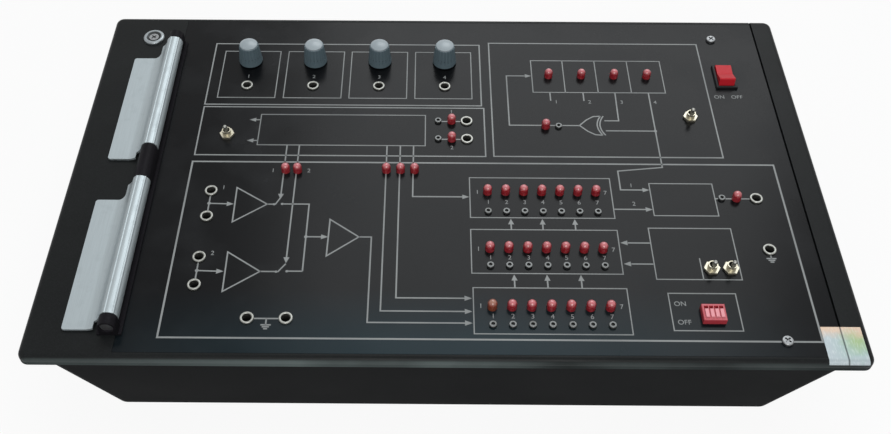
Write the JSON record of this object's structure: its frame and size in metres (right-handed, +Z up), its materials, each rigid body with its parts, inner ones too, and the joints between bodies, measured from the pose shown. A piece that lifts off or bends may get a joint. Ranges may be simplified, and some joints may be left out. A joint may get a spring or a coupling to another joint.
{
  "type": "communication training module",
  "caption": "Bench training module in a shallow moulded case: a dark printed panel with ring sockets, lamps, small switches and knobs, and hinge leaves at its left for a lift-off lid.",
  "frame": {"origin": "middle of the case's footprint, on the surface that the feet stand on", "axes": "+X to the right of the panel, +Y to its back, +Z up"},
  "size_m": [0.422, 0.2566, 0.0964],
  "materials": {
    "case_black": "fine moulded grain",
    "panel_print": "satin dark print",
    "ridge_black": "satin moulded",
    "silver_leaf": "satin anodised",
    "steel": "bright zinc",
    "rubber": "matt",
    "knob_body": "fluted, satin",
    "knob_cap": "satin",
    "nickel": "bright nickel",
    "brass": "pale bright brass",
    "lamp_red": "tinted epoxy",
    "lamp_amber": "tinted epoxy",
    "rocker_red": "moulded gloss",
    "switch_red": "moulded",
    "lever_pale": "moulded",
    "switch_black": "moulded",
    "board_green": "solder mask",
    "chip_black": "moulded",
    "iron": "varnished",
    "sink_black": "black anodised",
    "capacitor": "sleeve",
    "terminal_green": "moulded",
    "wire": "insulation",
    "foil": "printed foil"
  },
  "bodies": {
    "case": {"base_tub": "case_black", "top_frame": "case_black", "front_panel": "panel_print", "hinge_bar": "ridge_black", "hinge_rod": "steel", "feet": "rubber", "panel_screws": "steel", "corner_screw": "steel", "corner_washer": "steel", "flange_screws": "steel", "main_board": "board_green", "board_pillars": "brass", "board_screws": "steel", "board_chips": "chip_black", "pot_bodies": "steel", "bushing_nuts": "brass", "sockets": "nickel", "socket_nuts": "brass", "red_lamps": "lamp_red", "amber_lamp": "lamp_amber", "test_pins": "nickel", "toggle_bodies": "brass", "power_switch_housing": "switch_black", "fault_switch_body": "switch_red", "fault_switch_socket": "chip_black", "supply_board": "board_green", "supply_screws": "steel", "supply_transformer": "iron", "supply_capacitors": "capacitor", "supply_heat_sink": "sink_black", "supply_terminals": "terminal_green", "mains_inlet": "switch_black", "inlet_blades": "nickel", "inlet_screws": "steel", "mains_leads": "wire", "supply_leads": "wire", "seal_label": "foil"},
    "knob_turn_1": {"pot_shaft_1": "steel", "knob_1": "knob_body", "knob_cap_1": "knob_cap"},
    "knob_turn_2": {"pot_shaft_2": "steel", "knob_2": "knob_body", "knob_cap_2": "knob_cap"},
    "knob_turn_3": {"pot_shaft_3": "steel", "knob_3": "knob_body", "knob_cap_3": "knob_cap"},
    "knob_turn_4": {"pot_shaft_4": "steel", "knob_4": "knob_body", "knob_cap_4": "knob_cap"},
    "toggle_1": {"toggle_lever_1": "brass"},
    "toggle_2": {"toggle_lever_2": "brass"},
    "toggle_3": {"toggle_lever_3": "brass"},
    "toggle_4": {"toggle_lever_4": "brass"},
    "rocker": {"power_rocker": "rocker_red"},
    "fault_slide_1": {"fault_lever_1": "lever_pale"},
    "fault_slide_2": {"fault_lever_2": "lever_pale"},
    "fault_slide_3": {"fault_lever_3": "lever_pale"},
    "fault_slide_4": {"fault_lever_4": "lever_pale"},
    "leaf_rear": {"hinge_leaf_rear": "silver_leaf"},
    "leaf_front": {"hinge_leaf_front": "silver_leaf"}
  },
  "joints": [
    {"name": "knob_1_turn", "type": "hinge", "parent": "case", "child": "knob_turn_1", "pos_m": [-0.1195, 0.087, 0.081], "axis": [0, 0, 1], "range_deg": [-135, 135]},
    {"name": "knob_2_turn", "type": "hinge", "parent": "case", "child": "knob_turn_2", "pos_m": [-0.0795, 0.087, 0.081], "axis": [0, 0, 1], "range_deg": [-135, 135]},
    {"name": "knob_3_turn", "type": "hinge", "parent": "case", "child": "knob_turn_3", "pos_m": [-0.0395, 0.087, 0.081], "axis": [0, 0, 1], "range_deg": [-135, 135]},
    {"name": "knob_4_turn", "type": "hinge", "parent": "case", "child": "knob_turn_4", "pos_m": [0.0005, 0.087, 0.081], "axis": [0, 0, 1], "range_deg": [-135, 135]},
    {"name": "toggle_1_tilt", "type": "hinge", "parent": "case", "child": "toggle_1", "pos_m": [-0.1263, 0.0236, 0.08192], "axis": [-1, 0, 0], "range_deg": [0, 25]},
    {"name": "toggle_2_tilt", "type": "hinge", "parent": "case", "child": "toggle_2", "pos_m": [0.1456, 0.04, 0.08192], "axis": [-1, 0, 0], "range_deg": [0, 25]},
    {"name": "toggle_3_tilt", "type": "hinge", "parent": "case", "child": "toggle_3", "pos_m": [0.1394, -0.0712, 0.08192], "axis": [-1, 0, 0], "range_deg": [0, 25]},
    {"name": "toggle_4_tilt", "type": "hinge", "parent": "case", "child": "toggle_4", "pos_m": [0.1494, -0.0712, 0.08192], "axis": [-1, 0, 0], "range_deg": [0, 25]},
    {"name": "rocker_tilt", "type": "hinge", "parent": "case", "child": "rocker", "pos_m": [0.1718, 0.0743, 0.0795], "axis": [1, 0, 0], "range_deg": [0, 18]},
    {"name": "fault_1_slide", "type": "slide", "parent": "case", "child": "fault_slide_1", "axis": [0, 1, 0], "range_m": [0, 0.002]},
    {"name": "fault_2_slide", "type": "slide", "parent": "case", "child": "fault_slide_2", "axis": [0, 1, 0], "range_m": [0, 0.002]},
    {"name": "fault_3_slide", "type": "slide", "parent": "case", "child": "fault_slide_3", "axis": [0, 1, 0], "range_m": [0, 0.002]},
    {"name": "fault_4_slide", "type": "slide", "parent": "case", "child": "fault_slide_4", "axis": [0, 1, 0], "range_m": [0, 0.002]},
    {"name": "leaf_rear_turn", "type": "hinge", "parent": "case", "child": "leaf_rear", "pos_m": [-0.1673, 0.05, 0.0872], "axis": [0, 1, 0], "range_deg": [0, 110]},
    {"name": "leaf_front_turn", "type": "hinge", "parent": "case", "child": "leaf_front", "pos_m": [-0.1673, -0.065, 0.0872], "axis": [0, 1, 0], "range_deg": [0, 110]}
  ]
}
